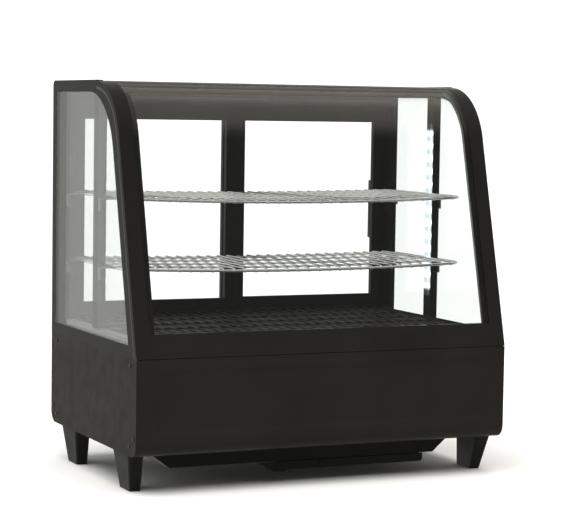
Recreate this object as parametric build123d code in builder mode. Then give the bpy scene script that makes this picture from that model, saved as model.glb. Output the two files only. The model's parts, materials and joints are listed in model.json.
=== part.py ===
"""Counter-top refrigerated display case with a curved front glass, two shelves and rear sliding doors.

Millimetres, +Z up. The front faces -Y and the origin is the middle of the footprint, on the counter.
Distances called "back" are measured from the front face of the cabinet towards the rear.
"""
from build123d import *
import os
from math import cos, radians, sin, tan

# Overall size
WIDTH = 682
DEPTH = 450
HEIGHT = 673
HALF = WIDTH / 2
FRONT = -DEPTH / 2

# Cabinet base
LEG_HEIGHT = 63
BODY_DEPTH = 436
BASE_TOP = 223
SHEET = 1.5
BOTTOM_BEND = 22
INSIDE = HALF - SHEET

# Legs: width by depth at the foot and at the top
LEG_FOOT = (20, 50)
LEG_TOP = (28, 78)
LEG_INSET = 11.5
LEG_TOP_INSET = 1.5
LEG_LEAN_FRONT = 20
FRONT_LEG_BACK = 57
REAR_LEG_BACK = 324

# Glazing: two panes with a black edge spacer between them
FRONT_LEAN = 14.4
FRONT_RADIUS = 118
FRONT_TOP = 671.5
PANE = 4
GAP = 6
FRONT_UNIT = 2 * PANE + GAP
SIDE_PANE = 3
SIDE_UNIT = 2 * SIDE_PANE + GAP
CABIN_HALF = HALF - SIDE_UNIT
FRONT_BORDER = 36
FRONT_BORDER_TOP = 262
FRONT_BORDER_ANGLE = 105
SIDE_BORDER = 20
SIDE_BORDER_FRONT = 33
SIDE_BORDER_RADIUS = 123
CORNER = 10

# Cabin
ROOF_BOTTOM = 655
CABIN_REAR = 394
DECK_TOP = 250
DECK = 3
TUB_BOTTOM = 165
TUB_WALL = 20
TUB_TOP = DECK_TOP - DECK

# Rear frame and sliding doors
TRACK_REAR = BODY_DEPTH
HEADER_BOTTOM = 634
SILL_TOP = 258
GROOVE = 11
RUN_GAP = 0.3
GROOVE_DEPTH = 10
SILL_GROOVE_DEPTH = 6
POST = 10
DOOR = 10
DOOR_BACK = {"left": 404, "right": 420}
DOOR_HALF = CABIN_HALF - POST - 1
DOOR_BOTTOM = SILL_TOP - SILL_GROOVE_DEPTH + RUN_GAP
DOOR_TOP = HEADER_BOTTOM + GROOVE_DEPTH - 2
DOOR_STILE = 26
DOOR_OVERLAP = 18.5
WINDOW_BOTTOM = 279
WINDOW_TOP = 606
DOOR_GLASS = 6

# Shelves, posts and lights
POST_BACK = 225
POST_WIDTH = 25
POST_THICK = 14.4
LIGHT_DEPTH = 5.4
LIGHT_WIDTH = 15
LIGHT_BOTTOM = 292
LIGHT_TOP = 606
SHELF_HALF = 323
SHELF_NOTCH = 12
GRID_HALF = 312
SHELF_FRONT = 123
SHELF_REAR = 392
SHELF_ROD = 5
SHELF_WIRE = 3
SHELF_PITCH = 20
SHELF_CORNER = 22
SHELF_HEIGHTS = {"lower_shelf": 357, "upper_shelf": 474}
SHELF_GAP = 0.3
BRACKET = 8
GRID_FRONT = 34
GRID_REAR = 388

# Machine compartment
TRAY_FRONT = 45
TRAY_REAR = 345
TRAY_BOTTOM = 37
DRIP_BOTTOM = 22
DRIP_LEFT = -75
DRIP_RIGHT = 205
PAN_OPENING = (-262, 222)
FAN_AXIS_X = -125
FAN_AXIS_Z = 114
COOLER_FAN_X = 60
COOLER_FAN_Z = 216
COMPRESSOR_X = 168
COMPRESSOR_BACK = 272
COMPRESSOR_RADIUS = 46
PIPE = 6

# Rear service panel
PANEL_BOTTOM = 100
CONTROL_Z = 182
CONTROLLER_X = 262
ROCKER_X = {"power_rocker": 176, "light_rocker": 140}
ROCKER = (13, 22)
INLET_X = 262
INLET_Z = 132
BUTTON_X = {"set_button": 243.5, "down_button": 280.5, "up_button": 290.5}
BUTTON = (7, 6)

os.makedirs("parts", exist_ok=True)


def save(part, name):
    """Label one finished piece and write it as its own STEP file."""
    part.label = name
    export_step(part, f"parts/{name}.step")


def world_y(back):
    """World Y of a plane that lies a distance behind the cabinet's front face."""
    return FRONT + back


def block(x_range, back_range, z_range, mode=Mode.ADD):
    """Box between two limits along each axis, in the block that calls it."""
    middle = (sum(x_range) / 2, world_y(sum(back_range) / 2), sum(z_range) / 2)
    with Locations(middle):
        Box(
            x_range[1] - x_range[0],
            back_range[1] - back_range[0],
            z_range[1] - z_range[0],
            mode=mode,
        )


def rod(start, end, diameter, mode=Mode.ADD):
    """Round bar between two world points, in the block that calls it."""
    axis = Vector(*end) - Vector(*start)
    with BuildSketch(Plane(origin=start, z_dir=axis)) as section:
        Circle(diameter / 2)
    extrude(section.sketch, amount=axis.length, mode=mode)


def mirrored(part):
    """The same piece on the other side of the cabinet."""
    return mirror(part, about=Plane.YZ)


def front_profile(offset, radius, top):
    """Foot, tangent point, arc centre and arc end of a leaning line that curves into the roof."""
    lean = radians(FRONT_LEAN)
    foot = (world_y(offset / cos(lean)), BASE_TOP)
    centre_z = top - radius
    rise = centre_z + radius * sin(lean) - BASE_TOP
    centre_y = foot[0] + rise * tan(lean) + radius * cos(lean)
    tangent = (centre_y - radius * cos(lean), centre_z + radius * sin(lean))
    return foot, tangent, (centre_y, centre_z), (centre_y, top)


def on_lean(foot, z):
    """Point of the leaning line at a height."""
    return (foot[0] + (z - BASE_TOP) * tan(radians(FRONT_LEAN)), z)


def front_section(plane, outer, inner, bottom=BASE_TOP, end_angle=90):
    """Section of the curved glazing between two offsets from its outer face."""
    foot_out, tangent_out, centre, _ = front_profile(outer, FRONT_RADIUS - outer, FRONT_TOP - outer)
    foot_in, tangent_in, _, _ = front_profile(inner, FRONT_RADIUS - inner, FRONT_TOP - inner)
    start_angle = 180 - FRONT_LEAN
    sweep_angle = start_angle - end_angle
    with BuildSketch(plane) as section:
        with BuildLine():
            rising = Line(on_lean(foot_out, bottom), tangent_out)
            over = CenterArc(centre, FRONT_RADIUS - outer, start_angle, -sweep_angle)
            back_over = CenterArc(centre, FRONT_RADIUS - inner, end_angle, sweep_angle)
            falling = Line(tangent_in, on_lean(foot_in, bottom))
            Line(over @ 1, back_over @ 0)
            Line(falling @ 1, rising @ 0)
        make_face()
    return section.sketch


# ---------------------------------------------------------------- base cabinet

def make_fascia():
    """Front sheet with a shallow recessed field, rolled under at its lower edge."""
    field_half = HALF - 33
    bevel = 9
    recess = 2
    with BuildPart() as fascia_panel:
        with BuildSketch(Plane.YZ.offset(-INSIDE)):
            with BuildLine():
                Line((FRONT, BASE_TOP), (FRONT, LEG_HEIGHT + BOTTOM_BEND))
                CenterArc((FRONT + BOTTOM_BEND, LEG_HEIGHT + BOTTOM_BEND), BOTTOM_BEND, 180, 90)
                Line((FRONT + BOTTOM_BEND, LEG_HEIGHT), (FRONT + BOTTOM_BEND, LEG_HEIGHT + SHEET))
                CenterArc((FRONT + BOTTOM_BEND, LEG_HEIGHT + BOTTOM_BEND), BOTTOM_BEND - SHEET, 270, -90)
                Line((FRONT + SHEET, LEG_HEIGHT + BOTTOM_BEND), (FRONT + SHEET, BASE_TOP))
                Line((FRONT + SHEET, BASE_TOP), (FRONT, BASE_TOP))
            make_face()
        extrude(amount=2 * INSIDE)
        for shift, mode in ((SHEET, Mode.ADD), (0, Mode.SUBTRACT)):
            grow = 0 if mode == Mode.SUBTRACT else SHEET
            middle_z = (206 + 97) / 2
            field_height = 206 - 97
            with BuildSketch(Plane.XZ.offset(-(FRONT + shift))) as mouth:
                with Locations((0, middle_z)):
                    Rectangle(2 * (field_half + grow), field_height + 2 * grow)
            with BuildSketch(Plane.XZ.offset(-(FRONT + shift + recess))) as floor:
                with Locations((0, middle_z)):
                    Rectangle(2 * (field_half + grow - bevel), field_height + 2 * (grow - bevel))
            loft([mouth.sketch.face(), floor.sketch.face()], mode=mode)
    return fascia_panel.part


def make_side_panel():
    """Right side sheet: lower corners rounded to follow the rolled front and rear edges."""
    with BuildPart() as side_panel:
        with BuildSketch(Plane.YZ.offset(INSIDE)):
            with Locations((world_y(BODY_DEPTH / 2), (LEG_HEIGHT + BASE_TOP) / 2)):
                outline = Rectangle(BODY_DEPTH, BASE_TOP - LEG_HEIGHT)
            fillet(outline.vertices().group_by(Axis.Y)[0], radius=BOTTOM_BEND)
        extrude(amount=SHEET)
    return side_panel.part


def make_base_pan():
    """Bottom sheet, turned up at the rear, open over the machine tray and drilled for the leg studs."""
    rear = world_y(BODY_DEPTH)
    bend = (rear - BOTTOM_BEND, LEG_HEIGHT + BOTTOM_BEND)
    with BuildPart() as base_pan:
        with BuildSketch(Plane.YZ.offset(-INSIDE)):
            with BuildLine():
                Line((FRONT + BOTTOM_BEND, LEG_HEIGHT), (bend[0], LEG_HEIGHT))
                CenterArc(bend, BOTTOM_BEND, 270, 90)
                Line((rear, bend[1]), (rear, PANEL_BOTTOM))
                Line((rear, PANEL_BOTTOM), (rear - SHEET, PANEL_BOTTOM))
                Line((rear - SHEET, PANEL_BOTTOM), (rear - SHEET, bend[1]))
                CenterArc(bend, BOTTOM_BEND - SHEET, 0, -90)
                Line((bend[0], LEG_HEIGHT + SHEET), (FRONT + BOTTOM_BEND, LEG_HEIGHT + SHEET))
                Line((FRONT + BOTTOM_BEND, LEG_HEIGHT + SHEET), (FRONT + BOTTOM_BEND, LEG_HEIGHT))
            make_face()
        extrude(amount=2 * INSIDE)
        through = (LEG_HEIGHT - 1, LEG_HEIGHT + 3)
        block(PAN_OPENING, (TRAY_FRONT + 20, TRAY_REAR - 20), through, Mode.SUBTRACT)
        for x, back in leg_centres():
            rod((x, world_y(back), LEG_HEIGHT - 1), (x, world_y(back), LEG_HEIGHT + 3), 8, Mode.SUBTRACT)
    return base_pan.part


def leg_centres():
    """Stud positions of the four legs as world x and distance back."""
    x = HALF - LEG_INSET - LEG_FOOT[0] / 2
    backs = [start + LEG_FOOT[1] / 2 for start in (FRONT_LEG_BACK, REAR_LEG_BACK)]
    return [(side * x, back) for back in backs for side in (-1, 1)]


def make_right_leg(foot_back):
    """Tapered plastic leg with a rounded outer front edge and a threaded socket for its stud."""
    foot_x = HALF - LEG_INSET - LEG_FOOT[0] / 2
    top_x = HALF - LEG_TOP_INSET - LEG_TOP[0] / 2
    foot_y = world_y(foot_back + LEG_FOOT[1] / 2)
    top_y = world_y(foot_back - LEG_LEAN_FRONT + LEG_TOP[1] / 2)
    with BuildPart() as leg:
        with BuildSketch(Plane.XY) as foot:
            with Locations((foot_x, foot_y)):
                RectangleRounded(*LEG_FOOT, 4)
        with BuildSketch(Plane.XY.offset(LEG_HEIGHT)) as top:
            with Locations((top_x, top_y)):
                RectangleRounded(*LEG_TOP, 6)
        loft([foot.sketch.face(), top.sketch.face()])
        rod((foot_x, foot_y, LEG_HEIGHT - 25), (foot_x, foot_y, LEG_HEIGHT), 8, Mode.SUBTRACT)
    return leg.part


def make_fasteners():
    """Pan-head screws of the side and rear panels, and the threaded stud and nut of each leg."""
    side_places = [(30, 211), (406, 211), (12, 94), (30, 80), (424, 94), (406, 80)]
    rear_places = [(-325, 210), (0, 210), (325, 210), (-325, 112), (20, 112), (325, 112)]
    head = 7
    height = 1.6
    with BuildPart() as fasteners:
        for back, z in side_places:
            for side in (-1, 1):
                near = (side * HALF, world_y(back), z)
                far = (side * (HALF + height), world_y(back), z)
                rod(near, far, head)
        for x, z in rear_places:
            rod((x, world_y(BODY_DEPTH), z), (x, world_y(BODY_DEPTH + height), z), head)
        for x, back in leg_centres():
            y = world_y(back)
            rod((x, y, LEG_HEIGHT - 25), (x, y, LEG_HEIGHT + 12), 8)
            with BuildSketch(Plane.XY.offset(LEG_HEIGHT + SHEET)) as nut:
                with Locations((x, y)):
                    RegularPolygon(7.5, 6)
            extrude(nut.sketch, amount=6.5)
    return fasteners.part


def make_service_panel():
    """Rear sheet with louvres, control cut-outs and the power inlet cut-out."""
    plate = (BODY_DEPTH - SHEET, BODY_DEPTH)
    through = (BODY_DEPTH - 10, BODY_DEPTH + 10)
    slot = (52, 4)
    with BuildPart() as service_panel:
        block((-INSIDE, INSIDE), plate, (PANEL_BOTTOM, BASE_TOP - 0.5))
        for column in range(5):
            for row in range(8):
                x = -288 + 62 * column
                z = 118 + 11.5 * row
                block((x - slot[0] / 2, x + slot[0] / 2), through, (z, z + slot[1]), Mode.SUBTRACT)
                with BuildSketch(Plane.YZ.offset(x - slot[0] / 2)) as hood:
                    Polygon(
                        (world_y(BODY_DEPTH), z + slot[1] + 2.5),
                        (world_y(BODY_DEPTH), z + slot[1]),
                        (world_y(BODY_DEPTH + 4), z),
                        (world_y(BODY_DEPTH + 4.6), z + 0.8),
                        align=None,
                    )
                extrude(hood.sketch, amount=slot[0])
        cut_outs = [(CONTROLLER_X, CONTROL_Z, 35, 14), (INLET_X, INLET_Z, 14, 11)]
        cut_outs += [(x, CONTROL_Z, 9, 13) for x in ROCKER_X.values()]
        for x, z, half_width, half_height in cut_outs:
            height = (z - half_height, z + half_height)
            block((x - half_width, x + half_width), through, height, Mode.SUBTRACT)
    return service_panel.part


# ---------------------------------------------------------------- machine compartment

def make_machine_tray():
    """Folded pan with sloping ends that hangs under the base and carries the compressor."""
    inner_rear = TRAY_REAR - SHEET

    def hollow(shrink):
        with BuildSketch(Plane.XZ.offset(-world_y(TRAY_REAR - shrink))) as section:
            Polygon(
                (-300 + shrink, LEG_HEIGHT),
                (-265 + shrink / 2, TRAY_BOTTOM + shrink),
                (227 - shrink / 2, TRAY_BOTTOM + shrink),
                (257 - shrink, LEG_HEIGHT),
                align=None,
            )
        return section.sketch

    with BuildPart() as machine_tray:
        extrude(hollow(0), amount=TRAY_REAR - TRAY_FRONT)
        extrude(hollow(SHEET), amount=inner_rear - TRAY_FRONT - SHEET, mode=Mode.SUBTRACT)
        rail = (TRAY_FRONT + 4, TRAY_REAR - 40)
        for side, edge in ((-1, DRIP_LEFT), (1, DRIP_RIGHT)):
            wall = edge - 4 * side
            block((wall - 1, wall + 1), rail, (24, TRAY_BOTTOM))
            block(sorted((wall, wall - 6 * side)), rail, (24, 26))
    return machine_tray.part


def make_drip_tray():
    """Removable tray for melt water: front lip, flanges that run in the rails, and a finger grip."""
    wall = 2
    left = DRIP_LEFT + 12
    right = DRIP_RIGHT - 12
    rear = TRAY_REAR - 44
    with BuildPart() as drip_tray:
        block((left, right), (TRAY_FRONT, rear), (DRIP_BOTTOM, TRAY_BOTTOM - 1))
        hollow = (TRAY_FRONT + wall, rear - wall)
        block((left + wall, right - wall), hollow, (DRIP_BOTTOM + wall, TRAY_BOTTOM), Mode.SUBTRACT)
        block((left - 5, right + 5), (TRAY_FRONT, rear), (26 + RUN_GAP, 28 + RUN_GAP))
        block((left + wall, right - wall), hollow, (26, 29), Mode.SUBTRACT)
        with BuildSketch(Plane.XZ.offset(-world_y(TRAY_FRONT + wall))) as lip:
            Polygon(
                (DRIP_LEFT - 32, TRAY_BOTTOM - 1),
                (DRIP_LEFT - 1, DRIP_BOTTOM - 3),
                (DRIP_LEFT + 17, DRIP_BOTTOM - 3),
                (DRIP_LEFT + 25, DRIP_BOTTOM),
                (DRIP_RIGHT - 1, DRIP_BOTTOM),
                (DRIP_RIGHT + 2, DRIP_BOTTOM + 4),
                (DRIP_RIGHT + 2, TRAY_BOTTOM - 1),
                align=None,
            )
        extrude(lip.sketch, amount=wall)
        boss = (DRIP_LEFT + 82, DRIP_LEFT + 94)
        block(boss, (TRAY_FRONT - 2, TRAY_FRONT), (DRIP_BOTTOM, TRAY_BOTTOM - 2))
    return drip_tray.part


def make_compressor():
    """Hermetic compressor: domed shell on a foot plate, with its terminal cover."""
    y = world_y(COMPRESSOR_BACK)
    plate_z = TRAY_BOTTOM + SHEET + 8
    with BuildPart() as compressor:
        with BuildSketch(Plane.XY.offset(plate_z)):
            with Locations((COMPRESSOR_X, y)):
                RectangleRounded(92, 92, 12)
        extrude(amount=2.5)
        with BuildSketch(Plane.XY.offset(plate_z + 2.5)):
            with Locations((COMPRESSOR_X, y)):
                Circle(COMPRESSOR_RADIUS)
        extrude(amount=107)
        fillet(compressor.faces().sort_by(Axis.Z)[-1].edges(), radius=30)
        with Locations((COMPRESSOR_X, y - COMPRESSOR_RADIUS - 4, plate_z + 50)):
            Box(34, 24, 44)
    return compressor.part


def make_compressor_mounts():
    """Rubber grommets under the compressor's four feet."""
    with BuildPart() as compressor_mounts:
        with BuildSketch(Plane.XY.offset(TRAY_BOTTOM + SHEET)):
            with Locations((COMPRESSOR_X, world_y(COMPRESSOR_BACK))):
                with GridLocations(72, 72, 2, 2):
                    Circle(8)
                    Circle(3, mode=Mode.SUBTRACT)
        extrude(amount=8)
    return compressor_mounts.part


def make_condenser_coil():
    """Fin-and-tube heat exchanger: end plates, fins and the bends of its tubes."""
    left, right = -230, -20
    fins = 24
    with BuildPart() as condenser_coil:
        for index in range(fins + 1):
            x = left + (right - left) * index / fins
            thick = 1.2 if index in (0, fins) else 0.6
            block((x - thick / 2, x + thick / 2), (380, 408), (LEG_HEIGHT + SHEET, 165))
        for row in range(5):
            for back in (387, 401):
                z = 76 + 19 * row
                rod((left - 6, world_y(back), z), (right + 6, world_y(back), z), 7)
    return condenser_coil.part


def make_condenser_shroud():
    """Plate that ducts the condenser fan's air, with the motor bracket's three arms."""
    wall = (374, 379)
    with BuildPart() as condenser_shroud:
        block((-230, -20), wall, (LEG_HEIGHT + SHEET, 165))
        rod(
            (FAN_AXIS_X, world_y(wall[0] - 1), FAN_AXIS_Z),
            (FAN_AXIS_X, world_y(wall[1] + 1), FAN_AXIS_Z),
            92,
            Mode.SUBTRACT,
        )
        for x in (FAN_AXIS_X - 60, FAN_AXIS_X + 60):
            block((x - 5, x + 5), (330, 374), (FAN_AXIS_Z - 2, FAN_AXIS_Z + 2))
        block((FAN_AXIS_X - 65, FAN_AXIS_X + 65), (328, 330), (FAN_AXIS_Z - 6, FAN_AXIS_Z + 6))
    return condenser_shroud.part


def make_fan_motor(x, z, back, radius, length, shaft_end):
    """Round fan motor with a shaft that points to the rear."""
    with BuildPart() as motor:
        rod((x, world_y(back), z), (x, world_y(back + length), z), 2 * radius)
        rod((x, world_y(back + length), z), (x, world_y(shaft_end), z), 6)
    return motor.part


def make_fan(x, z, back, radius, width, blades):
    """Hub with pitched blades, bored to run on a 6 mm shaft."""
    hub = radius * 0.32
    with BuildPart() as fan:
        rod((x, world_y(back), z), (x, world_y(back + width), z), 2 * hub)
        for index in range(blades):
            foot = (x, world_y(back + width / 2), z + hub * 0.8)
            with BuildSketch(Plane(origin=foot, x_dir=(0, 1, 0), z_dir=(0, 0, 1))) as root:
                Rectangle(1.6, radius * 0.55, rotation=35)
            blade = extrude(root.sketch, amount=radius - hub * 0.8, mode=Mode.PRIVATE)
            add(blade.rotate(Axis((x, world_y(back), z), (0, 1, 0)), 360 * index / blades))
        rod((x, world_y(back - 5), z), (x, world_y(back + width + 5), z), 6.1, Mode.SUBTRACT)
    return fan.part


def make_refrigerant_circuit():
    """Copper pipes and the filter drier between compressor, condenser and cooler."""
    shell_rear = COMPRESSOR_BACK + COMPRESSOR_RADIUS
    shell_left = COMPRESSOR_X - COMPRESSOR_RADIUS
    routes = (
        ((COMPRESSOR_X, shell_rear, 120), (COMPRESSOR_X, 394, 120), (-13, 394, 120)),
        ((-13, 385, 82), (20, 385, 82)),
        ((100, 385, 82), (128, 385, 82), (128, 385, TUB_BOTTOM)),
        ((92, COMPRESSOR_BACK, TUB_BOTTOM), (92, COMPRESSOR_BACK, 96), (shell_left, COMPRESSOR_BACK, 96)),
    )
    with BuildPart() as refrigerant_circuit:
        for route in routes:
            points = [(x, world_y(back), z) for x, back, z in route]
            with BuildLine() as path:
                if len(points) == 2:
                    Line(*points)
                else:
                    FilletPolyline(*points, radius=9)
            with BuildSketch(Plane(origin=points[0], z_dir=path.line % 0)) as section:
                Circle(PIPE / 2)
            sweep(section.sketch, path=path.line)
        rod((20, world_y(385), 82), (100, world_y(385), 82), 19)
    return refrigerant_circuit.part


# ---------------------------------------------------------------- cabin floor

def make_cabin_tub():
    """Insulated well under the deck that holds the cooler."""
    with BuildPart() as cabin_tub:
        block((-CABIN_HALF + 2, CABIN_HALF - 2), (26, CABIN_REAR - 0.5), (TUB_BOTTOM, TUB_TOP))
        block(
            (-CABIN_HALF + 2 + TUB_WALL, CABIN_HALF - 2 - TUB_WALL),
            (26 + TUB_WALL, CABIN_REAR - TUB_WALL),
            (TUB_BOTTOM + TUB_WALL, TUB_TOP + 1),
            Mode.SUBTRACT,
        )
    return cabin_tub.part


def make_evaporator_coil():
    """Cooler block in the well: fins on horizontal tubes."""
    left, right = -285, -5
    fins = 20
    floor_z = TUB_BOTTOM + TUB_WALL
    with BuildPart() as evaporator_coil:
        for index in range(fins + 1):
            x = left + (right - left) * index / fins
            block((x - 0.5, x + 0.5), (270, 340), (floor_z, floor_z + 52))
        for row in range(2):
            for back in (285, 305, 325):
                z = floor_z + 14 + 24 * row
                rod((left - 6, world_y(back), z), (right + 6, world_y(back), z), 8)
    return evaporator_coil.part


def make_cooler_fan_mount():
    """Baffle plate with the cooler fan's opening, and its motor on a foot."""
    floor_z = TUB_BOTTOM + TUB_WALL

    def on_axis(back):
        return (COOLER_FAN_X, world_y(back), COOLER_FAN_Z)

    with BuildPart() as cooler_fan_mount:
        block((COOLER_FAN_X - 45, COOLER_FAN_X + 45), (330, 333), (floor_z, TUB_TOP))
        rod(on_axis(329), on_axis(334), 54, Mode.SUBTRACT)
        block((COOLER_FAN_X - 12, COOLER_FAN_X + 12), (286, 333), (floor_z, floor_z + 2))
        block((COOLER_FAN_X - 8, COOLER_FAN_X + 8), (290, 310), (floor_z, COOLER_FAN_Z - 12))
        rod(on_axis(286), on_axis(314), 30)
        rod(on_axis(314), on_axis(330), 6)
    return cooler_fan_mount.part


def make_deck_plate():
    """Display deck with rows of air slots along its edges."""
    with BuildPart() as deck_plate:
        block((-CABIN_HALF + 0.5, CABIN_HALF - 0.5), (24, CABIN_REAR - 0.5), (TUB_TOP, DECK_TOP))
        for back in (56, 368):
            for index in range(14):
                x = -273 + 42 * index
                block((x - 16, x + 16), (back - 3, back + 3), (TUB_TOP - 1, DECK_TOP + 1), Mode.SUBTRACT)
    return deck_plate.part


def make_wire_grid(z, half, front, rear, rim, wire, pitch, corner, bars, notch=0):
    """Flat grid: a rim that may step in round the posts, cross bars, and close wires on top."""
    centre_y = world_y((front + rear) / 2)
    post_y = world_y(POST_BACK + POST_WIDTH / 2)
    with BuildPart() as grid:
        with BuildSketch(Plane.XY.offset(z)):
            with Locations((0, centre_y)):
                RectangleRounded(2 * half, rear - front, corner)
            if notch:
                with Locations((-half, post_y), (half, post_y)):
                    Rectangle(2 * notch, POST_WIDTH + 2 * notch, mode=Mode.SUBTRACT)
            offset(amount=-rim, kind=Kind.INTERSECTION, mode=Mode.SUBTRACT)
        extrude(amount=rim)
        for index in range(bars):
            y = world_y(front + (rear - front) * (index + 1) / (bars + 1))
            rod((-half + rim / 2, y, z + rim / 2), (half - rim / 2, y, z + rim / 2), rim)
        count = int((half - corner / 2) // pitch)
        wire_z = z + rim + wire / 2 - 0.6
        for index in range(-count, count + 1):
            x = index * pitch
            rod((x, world_y(front + 1), wire_z), (x, world_y(rear - 1), wire_z), wire)
    return grid.part


# ---------------------------------------------------------------- glazing

def make_front_pane(outer):
    """One curved pane of the front glazing, over the full width."""
    with BuildPart() as pane:
        extrude(front_section(Plane.YZ.offset(-HALF), outer, outer + PANE), amount=WIDTH)
    return pane.part


def make_front_border():
    """Black edge spacer between the curved panes."""
    inner_half = HALF - FRONT_BORDER
    with BuildPart() as front_border:
        extrude(front_section(Plane.YZ.offset(-HALF), PANE, PANE + GAP), amount=WIDTH)
        hole = front_section(
            Plane.YZ.offset(-inner_half), PANE - 1, PANE + GAP + 1, FRONT_BORDER_TOP, FRONT_BORDER_ANGLE
        )
        extrude(hole, amount=2 * inner_half, mode=Mode.SUBTRACT)
    return front_border.part


def side_outline(plane):
    """Outline of a side glazing unit, tucked behind the curved front."""
    foot, tangent, centre, end = front_profile(FRONT_UNIT, FRONT_RADIUS - FRONT_UNIT, FRONT_TOP - FRONT_UNIT)
    rear = world_y(BODY_DEPTH)
    with BuildSketch(plane) as outline:
        with BuildLine():
            Line(foot, tangent)
            CenterArc(centre, FRONT_RADIUS - FRONT_UNIT, 180 - FRONT_LEAN, FRONT_LEAN - 90)
            Line(end, (end[0], HEIGHT))
            Line((end[0], HEIGHT), (rear - CORNER, HEIGHT))
            CenterArc((rear - CORNER, HEIGHT - CORNER), CORNER, 90, -90)
            Line((rear, HEIGHT - CORNER), (rear, BASE_TOP))
            Line((rear, BASE_TOP), foot)
        make_face()
    return outline.sketch


def side_window(plane):
    """Clear field inside the side unit's black border."""
    top = HEIGHT - SIDE_BORDER
    bottom = BASE_TOP + SIDE_BORDER
    rear = world_y(BODY_DEPTH - SIDE_BORDER)
    foot, tangent, centre, end = front_profile(SIDE_BORDER_FRONT, SIDE_BORDER_RADIUS, top)
    start = on_lean(foot, bottom)
    with BuildSketch(plane) as window:
        with BuildLine():
            Line(start, tangent)
            CenterArc(centre, SIDE_BORDER_RADIUS, 180 - FRONT_LEAN, FRONT_LEAN - 90)
            Line(end, (rear, top))
            Line((rear, top), (rear, bottom))
            Line((rear, bottom), start)
        make_face()
    return window.sketch


def make_side_pane(inner_x):
    """One pane of the right side glazing."""
    with BuildPart() as pane:
        extrude(side_outline(Plane.YZ.offset(inner_x)), amount=SIDE_PANE)
    return pane.part


def make_side_border():
    """Black edge spacer between the right side panes."""
    spacer_x = CABIN_HALF + SIDE_PANE
    with BuildPart() as side_border:
        extrude(side_outline(Plane.YZ.offset(spacer_x)), amount=GAP)
        extrude(side_window(Plane.YZ.offset(spacer_x - 1)), amount=GAP + 2, mode=Mode.SUBTRACT)
    return side_border.part


# ---------------------------------------------------------------- roof, rear frame and doors

def make_roof():
    """Insulated roof slab behind the curved glass, between the side units."""
    front = front_profile(0, FRONT_RADIUS, FRONT_TOP)[2][0] - FRONT
    with BuildPart() as roof_panel:
        block((-CABIN_HALF, CABIN_HALF), (front, BODY_DEPTH), (ROOF_BOTTOM, FRONT_TOP))
        rear_top = roof_panel.edges().filter_by(Axis.X).group_by(Axis.Z)[-1].sort_by(Axis.Y)[-1]
        fillet(rear_top, radius=CORNER)
    return roof_panel.part


def make_track(z_range, groove_z):
    """Head or sill rail with two grooves for the sliding doors."""
    with BuildPart() as track:
        block((-CABIN_HALF + POST, CABIN_HALF - POST), (CABIN_REAR, TRACK_REAR), z_range)
        for back in DOOR_BACK.values():
            middle = back + DOOR / 2
            groove = (middle - GROOVE / 2, middle + GROOVE / 2)
            block((-HALF, HALF), groove, groove_z, Mode.SUBTRACT)
    return track.part


def make_rear_post():
    """Right upright between side glazing and doors."""
    with BuildPart() as rear_post:
        block((CABIN_HALF - POST, CABIN_HALF), (CABIN_REAR, TRACK_REAR), (BASE_TOP, ROOF_BOTTOM))
    return rear_post.part


def door_span(side):
    """World x limits of a closed door, then of its glass."""
    outer = (-DOOR_HALF, DOOR_OVERLAP)
    clear = (-DOOR_HALF + DOOR_STILE, -DOOR_OVERLAP)
    if side == "right":
        outer, clear = [(-high, -low) for low, high in (outer, clear)]
    return outer, clear


def make_door_frame(side):
    """Sliding door frame: wide lapping stile in the middle, narrow stile outside."""
    back = DOOR_BACK[side]
    outer, clear = door_span(side)
    with BuildPart() as door_frame:
        block(outer, (back, back + DOOR), (DOOR_BOTTOM, DOOR_TOP))
        block(clear, (back - 1, back + DOOR + 1), (WINDOW_BOTTOM, WINDOW_TOP), Mode.SUBTRACT)
    return door_frame.part


def make_door_glass(side):
    """Door pane, seated in its frame."""
    middle = DOOR_BACK[side] + DOOR / 2
    clear = door_span(side)[1]
    with BuildPart() as door_glass:
        block(clear, (middle - DOOR_GLASS / 2, middle + DOOR_GLASS / 2), (WINDOW_BOTTOM, WINDOW_TOP))
    return door_glass.part


def make_left_handle():
    """Low finger strip on the inner door, thin enough to pass the outer door."""
    x = -DOOR_HALF + DOOR_STILE / 2
    rear = DOOR_BACK["left"] + DOOR
    with BuildPart() as handle:
        block((x - 8, x + 8), (rear, rear + 1.5), (390, 490))
        block((x - 8, x - 6), (rear, rear + 4.5), (390, 490))
    return handle.part


def make_right_handle():
    """Bow handle on the outer door: a bar on two feet."""
    x = DOOR_HALF - DOOR_STILE / 2
    rear = DOOR_BACK["right"] + DOOR
    bar = 6
    with BuildPart() as handle:
        block((x - 7, x + 7), (DEPTH - bar, DEPTH), (385, 495))
        for z in (391, 489):
            block((x - 7, x + 7), (rear, DEPTH - bar), (z - 6, z + 6))
    return handle.part


# ---------------------------------------------------------------- posts, lights and shelf supports

def make_mid_post():
    """Right shelf standard, flat against the side glass, with a channel for its light strip."""
    inner = CABIN_HALF - POST_THICK
    middle = POST_BACK + POST_WIDTH / 2
    with BuildPart() as mid_post:
        width = (POST_BACK, POST_BACK + POST_WIDTH)
        block((inner, CABIN_HALF), width, (DECK_TOP, ROOF_BOTTOM))
        channel = (middle - LIGHT_WIDTH / 2, middle + LIGHT_WIDTH / 2)
        block((inner - 1, inner + LIGHT_DEPTH), channel, (LIGHT_BOTTOM, LIGHT_TOP), Mode.SUBTRACT)
    return mid_post.part


def make_light_strips():
    """Light strips set into the inner faces of the two shelf standards."""
    face = CABIN_HALF - POST_THICK + LIGHT_DEPTH
    middle = POST_BACK + POST_WIDTH / 2
    with BuildPart() as light_strips:
        for side in (-1, 1):
            block(
                sorted((side * (face - LIGHT_DEPTH), side * face)),
                (middle - LIGHT_WIDTH / 2, middle + LIGHT_WIDTH / 2),
                (LIGHT_BOTTOM, LIGHT_TOP),
            )
    return light_strips.part


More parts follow.
